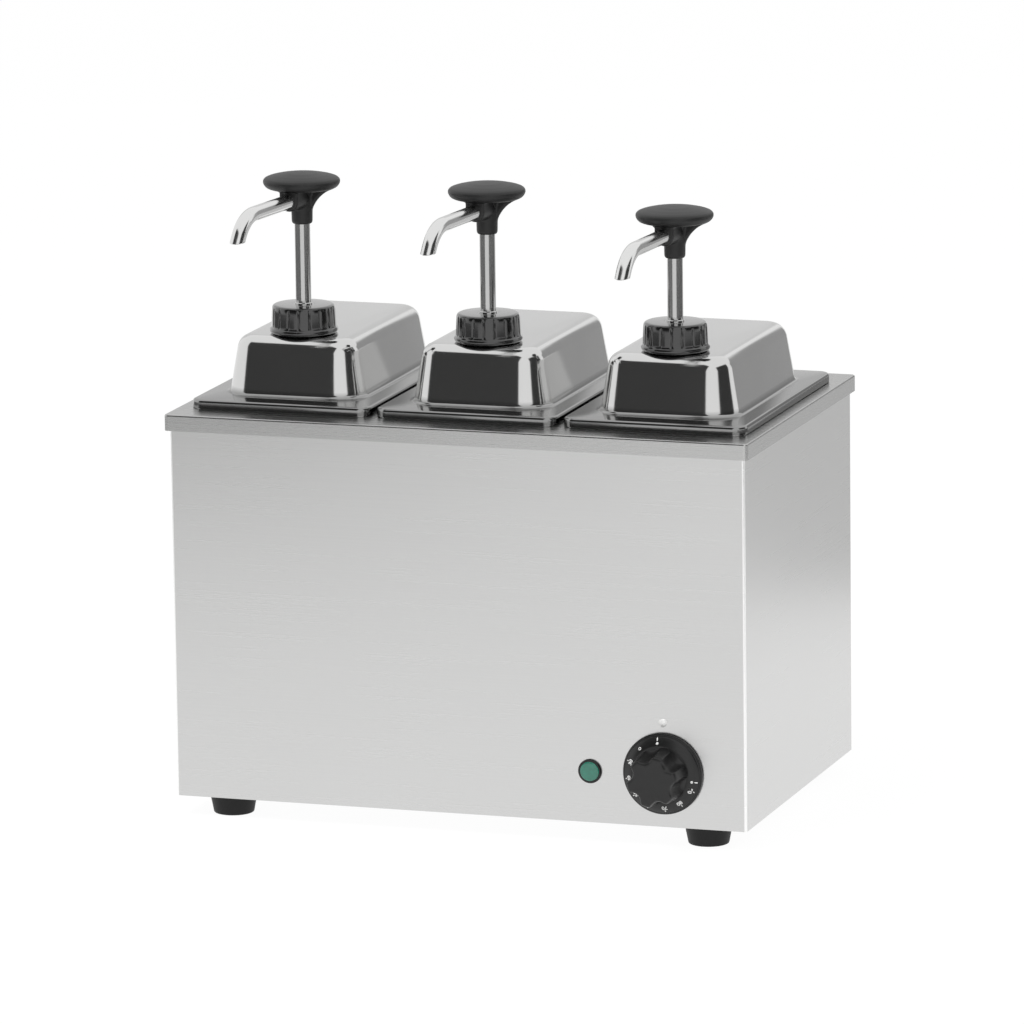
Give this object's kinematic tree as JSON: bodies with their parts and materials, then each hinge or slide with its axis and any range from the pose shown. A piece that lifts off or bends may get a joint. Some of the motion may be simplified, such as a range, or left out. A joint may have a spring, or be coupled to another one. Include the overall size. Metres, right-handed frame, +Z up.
{
  "type": "topping warmer",
  "caption": "Countertop stainless warmer with lift-out pans in a water bath, domed lids, push pumps with swivelling spouts, a dial thermostat and a pilot lamp.",
  "frame": {"origin": "on the table, under the middle of the whole outline with the spouts and the cable gland, level with the underside of the feet", "axes": "+X to the right along the front, +Y from the front to the back, +Z up"},
  "size_m": [0.52, 0.3724, 0.5493],
  "materials": {
    "brushed_panel": "satin brushed stainless sheet",
    "plain_steel": "mill-finish stainless sheet",
    "rubber_foot": "matte black rubber",
    "zinc_screw": "zinc-plated steel",
    "steel_screw": "plain stainless",
    "top_steel": "fine brushed stainless",
    "mineral_wool": "mineral wool blanket",
    "element_sheath": "dull heat-darkened sheath",
    "thermostat_case": "cream moulded case",
    "copper_bulb": "plain copper",
    "dial_black": "satin black moulded plastic",
    "lamp_black": "matte black moulded plastic",
    "lamp_green": "translucent green lens",
    "marker_white": "white enamel",
    "gland_black": "black nylon",
    "terminal_white": "white ceramic",
    "pan_steel": "satin drawn stainless",
    "lid_steel": "polished pressed stainless",
    "cap_black": "glossy black moulded plastic",
    "bush_steel": "turned stainless",
    "barrel_white": "natural moulded plastic",
    "ball_steel": "polished stainless ball",
    "rod_steel": "polished stainless tube",
    "spring_steel": "stainless spring wire",
    "knob_black": "fine-grained matte black moulded plastic"
  },
  "bodies": {
    "cabinet": {"cabinet_wrap": "brushed_panel", "back_panel": "brushed_panel", "base_plate": "plain_steel", "feet": "rubber_foot", "foot_screws": "zinc_screw", "back_screws": "steel_screw", "top_plate": "top_steel", "well_tank": "plain_steel", "well_insulation": "mineral_wool", "heating_element": "element_sheath", "element_straps": "plain_steel", "thermostat_body": "thermostat_case", "thermostat_bulb": "copper_bulb", "pilot_lamp_body": "lamp_black", "pilot_lamp_lens": "lamp_green", "index_marker": "marker_white", "cable_gland": "gland_black", "terminal_block": "terminal_white"},
    "dial": {"control_dial": "dial_black", "thermostat_shaft": "zinc_screw"},
    "pan_1": {"pan_1": "pan_steel"},
    "lid_1": {"lid_1": "lid_steel", "pump_cap_1": "cap_black", "guide_bush_1": "bush_steel", "pump_barrel_1": "barrel_white", "foot_valve_1": "barrel_white", "return_spring_1": "spring_steel"},
    "plunger_1": {"plunger_tube_1": "rod_steel", "piston_1": "barrel_white"},
    "pump_head_1": {"pump_knob_1": "knob_black", "spout_1": "rod_steel"},
    "suction_ball_1": {"suction_ball_1": "ball_steel"},
    "discharge_ball_1": {"discharge_ball_1": "ball_steel"},
    "pan_2": {"pan_2": "pan_steel"},
    "lid_2": {"lid_2": "lid_steel", "pump_cap_2": "cap_black", "guide_bush_2": "bush_steel", "pump_barrel_2": "barrel_white", "foot_valve_2": "barrel_white", "return_spring_2": "spring_steel"},
    "plunger_2": {"plunger_tube_2": "rod_steel", "piston_2": "barrel_white"},
    "pump_head_2": {"pump_knob_2": "knob_black", "spout_2": "rod_steel"},
    "suction_ball_2": {"suction_ball_2": "ball_steel"},
    "discharge_ball_2": {"discharge_ball_2": "ball_steel"},
    "pan_3": {"pan_3": "pan_steel"},
    "lid_3": {"lid_3": "lid_steel", "pump_cap_3": "cap_black", "guide_bush_3": "bush_steel", "pump_barrel_3": "barrel_white", "foot_valve_3": "barrel_white", "return_spring_3": "spring_steel"},
    "plunger_3": {"plunger_tube_3": "rod_steel", "piston_3": "barrel_white"},
    "pump_head_3": {"pump_knob_3": "knob_black", "spout_3": "rod_steel"},
    "suction_ball_3": {"suction_ball_3": "ball_steel"},
    "discharge_ball_3": {"discharge_ball_3": "ball_steel"}
  },
  "joints": [
    {"name": "dial_turn", "type": "hinge", "parent": "cabinet", "child": "dial", "pos_m": [0.183, -0.1508, 0.0645], "axis": [0, 1, 0], "range_deg": [0, 270]},
    {"name": "pan_lift_1", "type": "slide", "parent": "cabinet", "child": "pan_1", "axis": [0, 0, 1], "range_m": [0, 0.26]},
    {"name": "lid_lift_1", "type": "slide", "parent": "pan_1", "child": "lid_1", "axis": [0, 0, 1], "range_m": [0, 0.25]},
    {"name": "pump_press_1", "type": "slide", "parent": "lid_1", "child": "plunger_1", "axis": [0, 0, -1], "range_m": [0, 0.052], "stiffness_N_per_m": 300, "springref_m": -0.04, "deforming": ["return_spring_1"]},
    {"name": "head_swivel_1", "type": "hinge", "parent": "plunger_1", "child": "pump_head_1", "pos_m": [-0.167, -0.0538, 0.5], "axis": [0, 0, 1], "continuous": true},
    {"name": "suction_ball_lift_1", "type": "slide", "parent": "lid_1", "child": "suction_ball_1", "axis": [0, 0, 1], "range_m": [0, 0.003]},
    {"name": "discharge_ball_lift_1", "type": "slide", "parent": "plunger_1", "child": "discharge_ball_1", "axis": [0, 0, 1], "range_m": [0, 0.003]},
    {"name": "pan_lift_2", "type": "slide", "parent": "cabinet", "child": "pan_2", "axis": [0, 0, 1], "range_m": [0, 0.26]},
    {"name": "lid_lift_2", "type": "slide", "parent": "pan_2", "child": "lid_2", "axis": [0, 0, 1], "range_m": [0, 0.25]},
    {"name": "pump_press_2", "type": "slide", "parent": "lid_2", "child": "plunger_2", "axis": [0, 0, -1], "range_m": [0, 0.052], "stiffness_N_per_m": 300, "springref_m": -0.04, "deforming": ["return_spring_2"]},
    {"name": "head_swivel_2", "type": "hinge", "parent": "plunger_2", "child": "pump_head_2", "pos_m": [0, -0.0538, 0.5], "axis": [0, 0, 1], "continuous": true},
    {"name": "suction_ball_lift_2", "type": "slide", "parent": "lid_2", "child": "suction_ball_2", "axis": [0, 0, 1], "range_m": [0, 0.003]},
    {"name": "discharge_ball_lift_2", "type": "slide", "parent": "plunger_2", "child": "discharge_ball_2", "axis": [0, 0, 1], "range_m": [0, 0.003]},
    {"name": "pan_lift_3", "type": "slide", "parent": "cabinet", "child": "pan_3", "axis": [0, 0, 1], "range_m": [0, 0.26]},
    {"name": "lid_lift_3", "type": "slide", "parent": "pan_3", "child": "lid_3", "axis": [0, 0, 1], "range_m": [0, 0.25]},
    {"name": "pump_press_3", "type": "slide", "parent": "lid_3", "child": "plunger_3", "axis": [0, 0, -1], "range_m": [0, 0.038], "stiffness_N_per_m": 300, "springref_m": -0.04, "deforming": ["return_spring_3"]},
    {"name": "head_swivel_3", "type": "hinge", "parent": "plunger_3", "child": "pump_head_3", "pos_m": [0.167, -0.0538, 0.5], "axis": [0, 0, 1], "continuous": true},
    {"name": "suction_ball_lift_3", "type": "slide", "parent": "lid_3", "child": "suction_ball_3", "axis": [0, 0, 1], "range_m": [0, 0.003]},
    {"name": "discharge_ball_lift_3", "type": "slide", "parent": "plunger_3", "child": "discharge_ball_3", "axis": [0, 0, 1], "range_m": [0, 0.003]}
  ]
}
